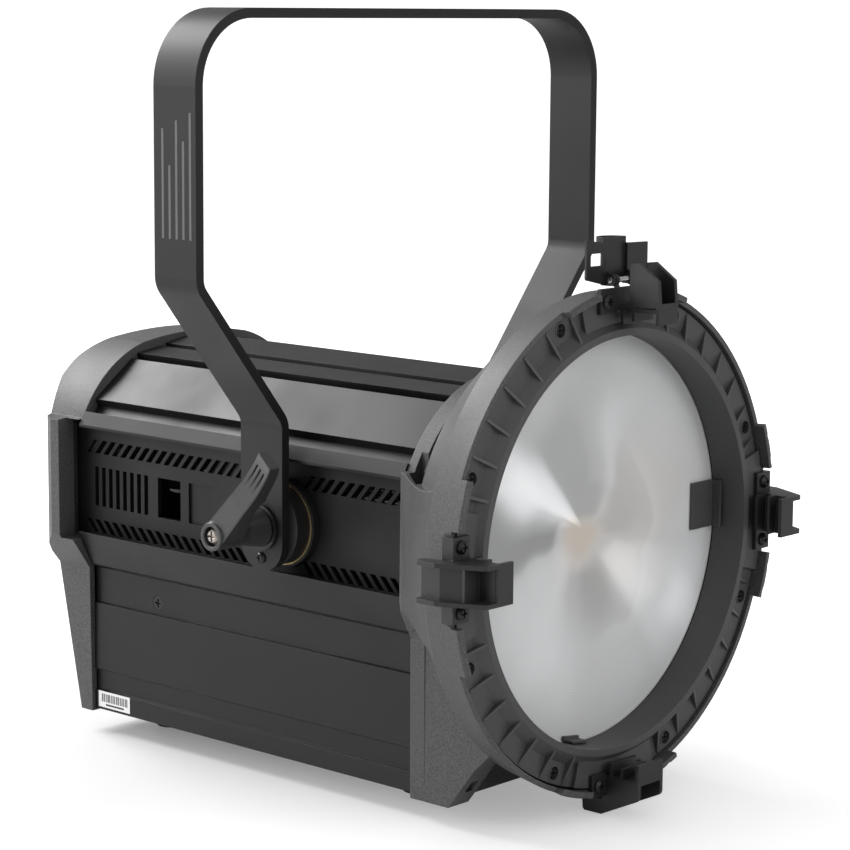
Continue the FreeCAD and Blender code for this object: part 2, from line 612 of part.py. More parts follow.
def fan_frame():
    block = box(-40, 40, 316.5, 341.0, FAN_Z - 40, FAN_Z + 40)
    block = block.cut([rod_y(38.0, 310.0, 345.0, 0, FAN_Z)] +
                      [rod_y(2.2, 310.0, 345.0, x, z) for x, z in FAN_HOLES])
    hub = rod_y(15.0, 316.5, 319.0, 0, FAN_Z)
    arms = []
    for k in range(3):
        arm = box(12.0, 39.0, 316.5, 319.0, -2.0, 2.0)
        arms.append(placed(around(arm, 90 + 120 * k), 0, 0, FAN_Z))
    spindle = rod_y(1.5, 318.0, 334.0, 0, FAN_Z)
    return fuse(block, hub, spindle, *arms)


def fan_rotor():
    """Hub and seven pitched blades."""
    hub = rod_y(16.0, 321.0, 338.0, 0, 0)
    blades = []
    for k in range(7):
        blade = Part.makeBox(22.0, 1.6, 20.0, V(14.5, -0.8, -10.0))
        blade.rotate(V(0, 0, 0), V(1, 0, 0), 52)
        blade.translate(V(0, 329.5, 0))
        blades.append(around(blade, 360.0 * k / 7))
    body = fuse(hub, *blades).common(rod_y(36.5, 320.0, 339.5, 0, 0))
    body = body.cut([rod_y(1.5 + RUN, 315.0, 336.0, 0, 0), rod_y(13.5, 320.0, 325.0, 0, 0)])
    return placed(body, 0, 0, FAN_Z)


def fan_grille():
    """Wire guard: concentric rings on four spokes that end in screw lugs."""
    wires = []
    for r in (12, 20, 28, 36):
        ring = turned([(r + 0.9 * math.cos(math.radians(a)), 347.0 + 0.9 * math.sin(math.radians(a)))
                       for a in range(0, 360, 60)])
        wires.append(placed(ring, 0, 0, FAN_Z))
    for angle in (45, 135):
        spoke = rod_x(1.0, -50.0, 50.0, 347.0, 0)
        wires.append(placed(around(spoke, angle), 0, 0, FAN_Z))
    lugs = [rod_y(3.4, REAR_FACE + 0.1, 347.6, x, z) for x, z in FAN_HOLES]
    return fuse(*(wires + lugs)).cut([rod_y(2.2, 340.0, 350.0, x, z) for x, z in FAN_HOLES])


# ---------------------------------------------------------------- inside

SCREW_R, SCREW_LEAD = 4.0, 8.0     # zoom screw
ROD_R = 4.0


def bulkhead(y, hole_r, hole_z):
    """Plate across the body that carries the guide rods."""
    outline = both([(46.0, 60.0), (70.0, 36.0), (73.0, 20.0), (73.0, -108.0)])
    plate = prism_y(outline, y, y + 3.0)
    return plate.cut([rod_y(hole_r, y - 1, y + 4, 0, hole_z),
                      rod_y(SCREW_R + 1.0, y - 1, y + 4, 0, SCREW_Z)])


def guide_rods():
    return [rod_y(ROD_R, 77.1, 295.9, sx * ROD_X, ROD_Z) for sx in (-1, 1)]


def zoom_motor():
    """Square stepper motor on the front bulkhead, bored for the screw."""
    body = box(-21, 21, 77.1, 111.0, SCREW_Z - 21, SCREW_Z + 21)
    corners = [prism_y([(21, SCREW_Z + s * 21), (16, SCREW_Z + s * 21), (21, SCREW_Z + s * 16)],
                       76, 112) for s in (-1, 1)]
    body = body.cut(corners + [mirrored(c) for c in corners])
    nose = rod_y(11.0, 110.5, 113.0, 0, SCREW_Z)
    return fuse(body, nose).cut(rod_y(SCREW_R + RUN, 90.0, 114.0, 0, SCREW_Z))


def zoom_screw():
    """Lead screw, grooved over its working length."""
    outline = [(0, 91.0), (SCREW_R, 91.0)]
    for k in range(21):
        y = 118.0 + SCREW_LEAD * k
        outline += [(SCREW_R, y), (SCREW_R, y + 5.0), (SCREW_R - 0.5, y + 5.6),
                    (SCREW_R - 0.5, y + 7.4)]
    outline += [(SCREW_R, 286.0), (SCREW_R, 298.0), (0, 298.0)]
    return placed(turned(outline), 0, 0, SCREW_Z)


def led_carriage():
    """Sliding plate with a tongue for the nut."""
    outline = both([(48.0, 50.0), (68.0, 30.0), (68.0, -60.0), (14.0, -62.0), (14.0, -98.0)])
    plate = prism_y(outline, CARRIAGE_Y, CARRIAGE_Y + 4.0)
    cuts = [rod_y(7.0, 190, 205, sx * ROD_X, ROD_Z) for sx in (-1, 1)]
    return plate.cut(cuts + [rod_y(8.0, 190, 205, 0, SCREW_Z)])


def carriage_bushes():
    bush = rod_y(7.0, 186.0, 210.0).cut(rod_y(ROD_R + RUN, 180.0, 215.0))
    return [placed(bush, sx * ROD_X, 0, ROD_Z) for sx in (-1, 1)]


def zoom_nut():
    y = CARRIAGE_Y
    nut = fuse(rod_y(8.0, y - 6.0, y + 12.0, 0, SCREW_Z), rod_y(12.0, y - 3.1, y - 0.1, 0, SCREW_Z))
    return nut.cut(rod_y(SCREW_R + RUN, 180.0, 215.0, 0, SCREW_Z))


def heat_sink():
    y = CARRIAGE_Y + 4.1
    base = box(-48, 48, y, y + 6.0, -32.0, 48.0)
    fins = [box(x - 0.9, x + 0.9, y + 5.9, y + 48.0, -32.0, 48.0)
            for x in [-46.8 + 7.2 * k for k in range(14)]]
    return fuse(base, *fins)


def led_module():
    """Emitter disc on its metal-core board."""
    y = CARRIAGE_Y
    board = box(-24, 24, y - 2.1, y - 0.1, -24, 24)
    return fuse(board, rod_y(14.0, y - 3.2, y - 2.0))


def led_reflector():
    y = CARRIAGE_Y - 2.3
    shell = turned([(15.0, y), (19.0, y), (34.0, y - 24.0), (36.0, y - 24.0), (36.0, y - 26.0),
                    (32.5, y - 26.0), (15.0, y - 1.2)])
    return shell


def power_supply():
    """Perforated metal box on the base plate."""
    body = box(-70, -24, 118, 290, BASE_Z + 2.1, -76.0)
    vents = [box(-26, -20, y, y + 4, -112.0, -88.0) for y in range(130, 280, 10)]
    return body.cut(vents)


def control_board():
    z = -112.0
    board = box(24, 70, 118, 270, z, z + 1.6)
    lumps = [box(30, 44, 130, 150, z + 1.5, z + 14), box(48, 64, 132, 160, z + 1.5, z + 9),
             box(30, 60, 180, 204, z + 1.5, z + 5), rod_z(6.0, z + 1.5, z + 20, 36, 222),
             rod_z(6.0, z + 1.5, z + 20, 54, 222), box(28, 66, 244, 262, z + 1.5, z + 11)]
    posts = [rod_z(2.5, BASE_Z + 2.0, z + 0.1, x, y) for x in (28, 66) for y in (122, 266)]
    return fuse(board, *(lumps + posts))


# ---------------------------------------------------------------- pivots, yoke and levers

KNUCKLE_X = 83.0                   # inner face of the knuckle discs
BOSS_X = 82.2                      # outer face of the pivot bosses
TAIL_SCREWS = (-16.0, 16.0)        # above and below the tilt axis
HANGING_R = 6.5                    # hole for an M12 hook clamp bolt
LEVER_LEAN = 44.0                  # handles lean forward of upright, degrees


def pivot_boss():
    """Boss on the body (+X) with a neck through the vent panel, bored for the stud."""
    disc = rod_x(23.0, 77.6, BOSS_X, TILT_Y, 0)
    neck = rod_x(14.0, 71.0, 78.0, TILT_Y, 0)
    return fuse(disc, neck).cut(rod_x(STUD_R + RUN, 60, 90, TILT_Y, 0))


def friction_disc():
    return rod_x(21.8, BOSS_X + 0.1, KNUCKLE_X - 0.1, TILT_Y, 0).cut(
        rod_x(STUD_R + 0.5, 60, 90, TILT_Y, 0))


def knuckle():
    """Disc screwed to the inside of a yoke tail (+X)."""
    outer = TAIL_X - BAR_THICK
    disc = rod_x(21.0, KNUCKLE_X, outer - 0.02, TILT_Y, 0)
    disc = disc.cut(rod_x(17.5, outer - 3.0, outer + 1, TILT_Y, 0).cut(
        rod_x(13.0, 80, 95, TILT_Y, 0)).common(box(80, 95, TILT_Y + 6, 200, -30, 30)))
    holes = [rod_x(1.7, 84, 95, TILT_Y, z) for z in TAIL_SCREWS]
    return disc.cut(holes + [rod_x(STUD_R + RUN, 60, 95, TILT_Y, 0)])


def tail_screw(z):
    screw = socket_screw(2.9, 1.9, 1.6, 11.0)
    screw.rotate(V(0, 0, 0), V(0, 0, 1), 90)
    return placed(screw, TAIL_X + 0.05, TILT_Y, z)


def yoke():
    """Flat bar bent to a U: tails, outward doglegs, uprights and a round-cornered top."""
    x, t, top, y0 = TAIL_X, BAR_THICK, YOKE_TOP, TILT_Y - BAR_WIDTH / 2
    low, high = 55.0, 128.0
    lean = math.atan2(YOKE_X - x, high - low)
    shift = t * math.tan(lean / 2)
    outside = [(0, top), (YOKE_X, top), (YOKE_X, high), (x, low), (x, -8.0)]
    inside = [(x - t, -8.0), (x - t, low + shift), (YOKE_X - t, high + shift),
              (YOKE_X - t, top - t), (0, top - t)]
    bar = prism_y(outside + inside, y0, y0 + BAR_WIDTH)

    def bend(shape, px, pz, radius):
        edges = [e for e in shape.Edges if abs(e.Length - BAR_WIDTH) < 1e-3
                 and abs(e.CenterOfMass.x - px) < 0.01 and abs(e.CenterOfMass.z - pz) < 0.01]
        return shape.makeFillet(radius, edges)

    bar = bend(bar, YOKE_X, top, 38.0)
    bar = bend(bar, YOKE_X - t, top - t, 33.0)
    bar = bend(bar, YOKE_X, high, 14.0)
    bar = bend(bar, YOKE_X - t, high + shift, 9.0)
    bar = bend(bar, x, low, 9.0)
    bar = bend(bar, x - t, low + shift, 14.0)
    bar = fuse(bar, rod_x(BAR_WIDTH / 2, x - t, x, TILT_Y, -8.0))
    bar = bar.cut([rod_x(STUD_R + RUN, 80, 110, TILT_Y, 0)] +
                  [rod_x(1.8, 80, 110, TILT_Y, z) for z in TAIL_SCREWS])
    whole = fuse(bar, mirrored(bar))
    return whole.cut(rod_z(HANGING_R, top - 10, top + 10, 0, TILT_Y))


def clamp_washer():
    return rod_x(12.0, TAIL_X + 0.05, TAIL_X + 2.0, TILT_Y, 0).cut(
        rod_x(STUD_R + 0.3, 90, 110, TILT_Y, 0))


def clamp_stud():
    """Threaded stud (+X), held in the boss, with a head that drives the lever's teeth."""
    stud = rod_x(STUD_R, 72.0, 118.0, TILT_Y, 0)
    teeth = rod_x(6.6, 99.4, 104.0, TILT_Y, 0)
    return fuse(stud, teeth).cut(rod_x(2.5, 108.0, 119.0, TILT_Y, 0))


def lever_screw():
    """Screw that holds the handle on its stud."""
    screw = socket_screw(4.7, 3.0, 2.4, 17.0)
    screw.rotate(V(0, 0, 0), V(0, 0, 1), 90)
    return placed(screw, 129.6, TILT_Y, 0)


def lever():
    """Die-cast handle (+X): hub, tapered arm, grip grooves and hooked tip; it leans forward."""
    length = 62.0
    hub = fuse(rod_x(7.4, 108.0, 133.0, TILT_Y, 0), cone_x(10.0, 7.4, 99.4, 112.0, TILT_Y, 0))
    points_out = [(117.0, 0), (131.6, 0), (132.2, 26.0), ("arc", (133.2, 46.0), (137.5, length)),
                  (130.5, length - 0.5), ("arc", (125.5, 48.0), (123.5, 26.0))]
    slab = face(lift(points_out, lambda x, u: V(x, -7.0, u))).extrude(V(0, 14.0, 0))
    taper = face([V(100, -7.0, -1), V(100, 7.0, -1), V(100, 5.4, length + 1),
                  V(100, -5.4, length + 1)]).extrude(V(50, 0, 0))
    arm = slab.common(taper)
    grooves = [Part.makeBox(3.0, 1.2, 22.0, V(132.2, v - 0.6, 33.0)) for v in (-3, 0, 3)]
    arm = arm.cut(grooves)
    arm.rotate(V(0, 0, 0), V(1, 0, 0), LEVER_LEAN)
    arm.translate(V(0, TILT_Y, 0))
    body = fuse(hub, arm)
    return body.cut([rod_x(6.65, 98.0, 108.2, TILT_Y, 0), rod_x(STUD_R + RUN, 100, 120, TILT_Y, 0),
                     rod_x(2.5, 118, 127, TILT_Y, 0), rod_x(5.2, 125.0, 140.0, TILT_Y, 0)])


# ---------------------------------------------------------------- write every sub-part

os.makedirs("parts", exist_ok=True)

save("front_casting", front_casting())
save("accessory_ring", accessory_ring())
save("fresnel_lens", fresnel_lens())
save("lens_gaskets", *lens_gaskets())
save("lens_clamps", *lens_clamps())
for side in CLOSED_CLIPS:
    save(side + "_clip", around(side_clip(), CLIP_ANGLES[side]))
save("top_clip", around(top_clip(), CLIP_ANGLES["top"]))
save("clip_screws", *[placed(socket_screw(3.4, 2.2, 1.9, 16.0), x, 0.55, z)
                      for x, z in clip_screw_places()])
save("ring_screws", *[placed(socket_screw(3.3, 2.2, 1.9, 12.0), x, 7.95, z)
                      for x, z in ring_screw_places()])
save("latch_pin", rod_x(1.5, -10.0, 10.0, LATCH_Y, LATCH_R))
save("top_latch", top_latch())

save("top_shell", top_shell())
save("right_side_panel", side_panel())
save("left_side_panel", mirrored(side_panel()))
save("right_vent_panel", vent_panel())
save("left_vent_panel", mirrored(vent_panel()))
save("panel_screws", panel_screw(), mirrored(panel_screw()))
save("base_plate", base_plate())
save("rubber_feet", *[rubber_foot(x, y) for x, y in FEET])

save("rear_casting", rear_casting())
save("rear_screws", *[placed(rear_screw(), x, REAR_FACE + 0.05, z) for x, z in REAR_SCREWS])
save("rear_panel", rear_panel())
save("display_window", on_panel(box(-57.8, -14.2, -1.0, 1.0, 54.2, 75.8)))
for name, place in BUTTONS.items():
    save(name + "_button", button(place))
save("mains_inlet", chassis_socket(SOCKETS[0], 3))
save("data_sockets", chassis_socket(SOCKETS[1], 5), chassis_socket(SOCKETS[2], 5))
save("safety_eye", safety_eye())
save("fan_frame", fan_frame())
save("fan_rotor", fan_rotor())
save("fan_grille", fan_grille())

save("front_bulkhead", bulkhead(74.0, 62.0, 0.0))
save("rear_bulkhead", bulkhead(296.0, 38.0, 8.0))
save("guide_rods", *guide_rods())
save("zoom_motor", zoom_motor())
save("zoom_screw", zoom_screw())
save("led_carriage", led_carriage())
save("carriage_bushes", *carriage_bushes())
save("zoom_nut", zoom_nut())
save("heat_sink", heat_sink())
save("led_module", led_module())
save("led_reflector", led_reflector())
save("power_supply", power_supply())
save("control_board", control_board())

save("pivot_bosses", pivot_boss(), mirrored(pivot_boss()))
save("friction_discs", friction_disc(), mirrored(friction_disc()))
save("yoke", yoke())
save("yoke_knuckles", knuckle(), mirrored(knuckle()))
tail_screws = [tail_screw(z) for z in TAIL_SCREWS]
save("yoke_screws", *(tail_screws + [mirrored(s) for s in tail_screws]))
save("clamp_washers", clamp_washer(), mirrored(clamp_washer()))
save("right_clamp_stud", clamp_stud())
save("left_clamp_stud", mirrored(clamp_stud()))
save("right_lever_screw", lever_screw())
save("left_lever_screw", mirrored(lever_screw()))
save("right_lever", lever())
save("left_lever", mirrored(lever()))
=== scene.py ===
"""Looks of the Fresnel spotlight: finishes, the fine lens, printed marks, studio and camera."""
import math

import bpy
from mathutils import Matrix, Vector


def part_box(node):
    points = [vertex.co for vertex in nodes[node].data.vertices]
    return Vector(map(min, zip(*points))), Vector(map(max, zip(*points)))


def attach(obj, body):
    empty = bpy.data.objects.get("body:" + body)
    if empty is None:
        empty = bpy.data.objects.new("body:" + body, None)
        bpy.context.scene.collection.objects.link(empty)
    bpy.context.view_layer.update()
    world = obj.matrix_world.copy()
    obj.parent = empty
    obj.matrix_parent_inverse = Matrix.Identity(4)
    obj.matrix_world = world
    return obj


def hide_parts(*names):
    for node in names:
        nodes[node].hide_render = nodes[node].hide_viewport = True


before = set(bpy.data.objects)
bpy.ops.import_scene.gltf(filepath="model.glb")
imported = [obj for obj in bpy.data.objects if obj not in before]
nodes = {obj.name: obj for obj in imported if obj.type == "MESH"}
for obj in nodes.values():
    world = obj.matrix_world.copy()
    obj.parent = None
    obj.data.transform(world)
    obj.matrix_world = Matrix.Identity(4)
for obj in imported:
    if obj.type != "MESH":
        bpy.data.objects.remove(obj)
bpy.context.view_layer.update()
MM = 0.001


# ---------------------------------------------------------------- material helpers

class Look:
    """One procedural material; its sockets are wired by the methods below."""

    def __init__(self, name):
        self.material = bpy.data.materials.new(name)
        self.material.use_nodes = True
        self.tree = self.material.node_tree
        self.shader = self.tree.nodes["Principled BSDF"]
        self.place = self.add("ShaderNodeTexCoord").outputs["Object"]

    def add(self, kind, **settings):
        made = self.tree.nodes.new(kind)
        for key, value in settings.items():
            setattr(made, key, value)
        return made

    def plug(self, socket, value):
        if isinstance(value, bpy.types.NodeSocket):
            self.tree.links.new(value, socket)
        else:
            socket.default_value = value

    def math(self, operation, a, b=0.0):
        made = self.add("ShaderNodeMath", operation=operation)
        self.plug(made.inputs[0], a)
        self.plug(made.inputs[1], b)
        return made.outputs[0]

    def stretched(self, x, y, z):
        """Object coordinates scaled on each axis, for a grain with a direction."""
        made = self.add("ShaderNodeMapping")
        self.plug(made.inputs["Vector"], self.place)
        made.inputs["Scale"].default_value = (x, y, z)
        return made.outputs[0]

    def noise(self, scale, detail=2.0, vector=None):
        made = self.add("ShaderNodeTexNoise")
        self.plug(made.inputs["Vector"], vector or self.place)
        made.inputs["Scale"].default_value = scale
        made.inputs["Detail"].default_value = detail
        return made.outputs[0]

    def span(self, value, low, high, start=0.3, end=0.7):
        """value from start..end becomes low..high."""
        made = self.add("ShaderNodeMapRange")
        self.plug(made.inputs[0], value)
        for k, number in enumerate((start, end, low, high)):
            self.plug(made.inputs[k + 1], number)
        return made.outputs[0]

    def smooth(self, value, start, end, low, high):
        """As span, along a smooth step."""
        made = self.add("ShaderNodeMapRange", interpolation_type="SMOOTHERSTEP")
        for k, number in enumerate((value, start, end, low, high)):
            self.plug(made.inputs[k], number)
        return made.outputs[0]

    def weighted(self, a, share_a, b, share_b):
        """a * share_a + b * share_b."""
        return self.math("ADD", self.math("MULTIPLY", a, share_a),
                         self.math("MULTIPLY", b, share_b))

    def length(self, a, b):
        return self.math("SQRT", self.weighted(a, a, b, b))

    def blend(self, share, first, second):
        made = self.add("ShaderNodeMix", data_type="RGBA")
        self.plug(made.inputs[0], share)
        self.plug(made.inputs[6], first)
        self.plug(made.inputs[7], second)
        return made.outputs[2]

    def bump(self, height, distance, strength=1.0, normal=None):
        made = self.add("ShaderNodeBump")
        self.plug(made.inputs["Height"], height)
        self.plug(made.inputs["Distance"], distance)
        self.plug(made.inputs["Strength"], strength)
        if normal is not None:
            self.plug(made.inputs["Normal"], normal)
        return made.outputs[0]

    def set(self, **inputs):
        for key, value in inputs.items():
            self.plug(self.shader.inputs[key.replace("_", " ")], value)

    def edges(self, radius):
        """(rounded normal, 0..1 share of edge) for softly rounded edges and for lightened edges,
        partly wear and partly painted highlight.
        """
        soft = self.add("ShaderNodeBevel", samples=4)
        soft.inputs["Radius"].default_value = radius
        real = self.add("ShaderNodeNewGeometry").outputs["Normal"]
        dot = self.add("ShaderNodeVectorMath", operation="DOT_PRODUCT")
        self.plug(dot.inputs[0], soft.outputs[0])
        self.plug(dot.inputs[1], real)
        return soft.outputs[0], self.span(dot.outputs["Value"], 1.0, 0.0, 0.8, 0.99)


def grey(level, tint=1.03):
    """Grey colour; a tint over 1 leans to blue."""
    return (level, level * (1 + (tint - 1) * 0.4), level * tint, 1.0)


def coated(name, level, rough, grain, depth, edge=0.45, metallic=0.0, streak=False, specks=0.25,
           shine=0.5):
    """Powder coat, anodising or moulded plastic: fine grain, cloudy gloss and lightened edges that
    are partly wear, partly painted highlight.
    """
    look = Look(name)
    vector = look.stretched(1.0, 0.06, 1.0) if streak else None
    fine = look.noise(grain, 2.0, vector)
    cloud = look.noise(22.0, 3.0)
    normal, edge_share = look.edges(edge * MM)
    tone = look.blend(look.span(fine, 0.0, 1.0), grey(level * (1 - specks)),
                      grey(level * (1 + specks)))
    dusty = look.blend(look.span(cloud, 0.0, 0.35), tone, grey(level * 1.5, 1.0))
    # edges lightened towards pale grey: partly wear, partly painted highlight
    wear_and_edge_highlight = look.blend(look.math("MULTIPLY", edge_share, 0.35), dusty, grey(min(level * 4, 0.5)))
    look.set(Base_Color=wear_and_edge_highlight, Metallic=metallic, Specular_IOR_Level=shine,
             Roughness=look.span(look.math("ADD", look.math("MULTIPLY", fine, 0.3), cloud),
                                 rough - 0.06, rough + 0.08, 0.4, 0.9),
             Normal=look.bump(fine, depth * MM, 0.7, normal))
    return look


def metal(name, colour, rough, brushed=(1.0, 1.0, 1.0)):
    """Bare metal with fine brushing and a little tarnish."""
    look = Look(name)
    lines = look.noise(900.0, 3.0, look.stretched(*brushed))
    cloud = look.noise(60.0, 4.0)
    normal, edge_share = look.edges(0.3 * MM)
    dark = tuple(0.6 * c for c in colour) + (1.0,)
    tone = look.blend(look.span(cloud, 0.0, 0.7), tuple(colour) + (1.0,), dark)
    # edges lightened towards pale grey: partly wear, partly painted highlight
    look.set(Base_Color=look.blend(look.math("MULTIPLY", edge_share, 0.3), tone, grey(0.9)),
             Metallic=1.0, Roughness=look.span(lines, rough - 0.08, rough + 0.12),
             Normal=look.bump(lines, 0.02 * MM, 0.5, normal))
    return look


# ---------------------------------------------------------------- finishes

CAST = coated("cast_powder_coat", 0.058, 0.50, 1100.0, 0.14, edge=0.7, specks=0.5, shine=0.4)
EXTRUSION = coated("anodised_extrusion", 0.006, 0.42, 2600.0, 0.03, edge=0.35, streak=True,
                   shine=0.3)
YOKE = coated("yoke_powder_coat", 0.008, 0.46, 2000.0, 0.05, edge=0.6, shine=0.33)
RING = coated("moulded_ring", 0.045, 0.46, 1800.0, 0.06, edge=0.35)
MOULDING = coated("moulded_plastic", 0.012, 0.42, 2400.0, 0.04, edge=0.35)
SHEET = coated("coated_sheet", 0.009, 0.40, 2200.0, 0.03, edge=0.3)
VENT = coated("vent_plate", 0.006, 0.5, 2200.0, 0.03, edge=0.3, shine=0.3)
PANEL = coated("control_panel", 0.010, 0.5, 2800.0, 0.02, edge=0.3)
RUBBER = coated("rubber", 0.008, 0.7, 1200.0, 0.08, edge=0.8)
KEY = coated("grey_key", 0.14, 0.5, 2600.0, 0.02, edge=0.4)
DARK_SCREW = coated("blackened_steel", 0.03, 0.3, 3000.0, 0.01, edge=0.25, metallic=0.8)
LEVER = coated("lever_die_cast", 0.030, 0.30, 2200.0, 0.04, edge=1.6)
STEEL = metal("plain_steel", (0.62, 0.61, 0.6), 0.22)
NICKEL = metal("nickel_plate", (0.40, 0.36, 0.33), 0.26)
BRASS = metal("brass_rim", (0.62, 0.46, 0.22), 0.35)
ALUMINIUM = metal("plain_aluminium", (0.7, 0.7, 0.71), 0.4, (1.0, 0.05, 1.0))
REFLECTOR = metal("polished_reflector", (0.85, 0.85, 0.86), 0.12)


def display_look():
    """Smoked window over a dark display."""
    look = Look("display_window")
    smear = look.noise(90.0, 4.0, look.stretched(1.0, 1.0, 0.3))
    look.set(Base_Color=look.blend(look.span(smear, 0.0, 1.0), (0.006, 0.012, 0.02, 1),
                                   (0.02, 0.03, 0.04, 1)),
             Roughness=look.span(smear, 0.05, 0.2), Coat_Weight=0.5,
             Normal=look.bump(smear, 0.02 * MM, 0.3))
    return look


def board_look():
    """Solder resist with a track-like pattern."""
    look = Look("circuit_board")
    cells = look.add("ShaderNodeTexVoronoi", distance="MANHATTAN")
    look.plug(cells.inputs["Vector"], look.place)
    cells.inputs["Scale"].default_value = 220.0
    track = look.span(cells.outputs["Distance"], 0.0, 1.0, 0.35, 0.5)
    fine = look.noise(1800.0)
    look.set(Base_Color=look.blend(track, (0.01, 0.06, 0.03, 1), (0.02, 0.12, 0.06, 1)),
             Roughness=look.span(fine, 0.3, 0.45), Normal=look.bump(track, 0.03 * MM, 0.6))
    return look


def phosphor_look():
    """Yellow phosphor over a pale board."""
    look = Look("phosphor")
    fine = look.noise(1400.0, 3.0)
    look.set(Base_Color=look.blend(look.span(fine, 0.0, 1.0), (0.8, 0.55, 0.12, 1),
                                   (0.9, 0.68, 0.2, 1)),
             Roughness=look.span(fine, 0.45, 0.6), Normal=look.bump(fine, 0.03 * MM, 0.5))
    return look


DISPLAY, BOARD, PHOSPHOR = display_look(), board_look(), phosphor_look()

FINISH_OF = {
    CAST: ("front_casting", "rear_casting"),
    EXTRUSION: ("top_shell", "left_side_panel", "right_side_panel"),
    YOKE: ("yoke",),
    RING: ("accessory_ring", "lens_clamps"),
    MOULDING: ("left_clip", "right_clip", "bottom_clip", "top_clip", "pivot_bosses",
               "yoke_knuckles", "mains_inlet", "data_sockets", "fan_frame", "fan_rotor"),
    VENT: ("left_vent_panel", "right_vent_panel"),
    SHEET: ("top_latch", "base_plate", "fan_grille", "zoom_motor", "heat_sink", "led_carriage",
            "front_bulkhead", "rear_bulkhead"),
    PANEL: ("rear_panel",),
    RUBBER: ("rubber_feet", "lens_gaskets"),
    KEY: ("menu_button", "down_button", "up_button", "enter_button"),
    DARK_SCREW: ("clip_screws", "ring_screws", "panel_screws", "rear_screws", "clamp_washers",
                 "yoke_screws"),
    LEVER: ("left_lever", "right_lever"),
    STEEL: ("latch_pin", "safety_eye", "guide_rods", "zoom_screw", "left_clamp_stud",
            "right_clamp_stud"),
    NICKEL: ("left_lever_screw", "right_lever_screw"),
    BRASS: ("friction_discs", "carriage_bushes", "zoom_nut"),
    ALUMINIUM: ("power_supply",),
    REFLECTOR: ("led_reflector",),
    DISPLAY: ("display_window",),
    BOARD: ("control_board",),
    PHOSPHOR: ("led_module",),
}
for look, names in FINISH_OF.items():
    for name in names:
        mesh = nodes[name].data
        mesh.materials.clear()
        mesh.materials.append(look.material)
        mesh.shade_smooth()


# ---------------------------------------------------------------- meshes made here

LENS_BASE = 0.55                    # mean tone of the frosted lens
LENS_DRIFT = 0.05                   # wander of its pattern, as a share of the radius
# Fans of painted highlight (weight above 0) and painted shade (weight below 0) from the lens's
# middle:
# direction and half angle in degrees, start and stop as shares of the radius, weight
LENS_PAINTED_FANS = [
    (141.0, 14.0, 0.02, 0.54, 0.30),
    (152.0, 24.0, 0.05, 0.64, 0.12),
    (176.0, 24.0, 0.15, 1.05, -0.24),
    (232.0, 40.0, 0.10, 0.85, 0.08),
    (266.0, 54.0, 0.12, 0.42, -0.18),
    (328.0, 24.0, 0.15, 1.05, 0.13),
    (108.0, 40.0, 0.05, 0.70, -0.14),
    (80.0, 26.0, 0.25, 0.65, 0.06),
    (30.0, 44.0, 0.05, 0.40, -0.09),
]
LENS_PAINTED_ARC = (-14.0, 90.0, 0.45, 0.52, 0.07, 0.10)       # a painted pale arc of highlight; its last number is its blur
# Soft ovals of painted highlight (weight above 0) and painted shade (weight below 0): middle x,
# middle z, lean in degrees, half length, half width, weight
LENS_PAINTED_POOLS = [
    (-0.59, 0.34, -28.0, 0.34, 0.23, 0.32),
    (0.72, -0.43, -30.0, 0.34, 0.22, 0.19),
    (0.30, -0.22, -30.0, 0.26, 0.18, 0.14),
    (-0.36, -0.45, 60.0, 0.40, 0.26, 0.06),
    (0.0, 0.85, 0.0, 0.60, 0.30, -0.05),
]
LENS_WARM = [(-0.03, -0.03, 0.0, 0.22, 0.22, 0.6), (0.3, 0.05, 30.0, 0.8, 0.5, 0.22)]


def new_piece(name, points, faces, look, smooth=False):
    mesh = bpy.data.meshes.new(name)
    mesh.from_pydata([tuple(p) for p in points], [], faces)
    mesh.materials.append(look.material)
    if smooth:
        mesh.shade_smooth()
    made = bpy.data.objects.new(name, mesh)
    bpy.context.scene.collection.objects.link(made)
    return made


def slabs(name, look, plates):
    """Closed thin slabs as one mesh; each plate is (low corner, high corner)."""
    points, faces = [], []
    sides = ((0, 2, 3, 1), (4, 5, 7, 6), (0, 1, 5, 4), (2, 6, 7, 3), (0, 4, 6, 2), (1, 3, 7, 5))
    for low, high in plates:
        first = len(points)
        points += [(x, y, z) for x in (low[0], high[0]) for y in (low[1], high[1])
                   for z in (low[2], high[2])]
        faces += [[first + k for k in reversed(side)] for side in sides]
    return new_piece(name, points, faces, look)


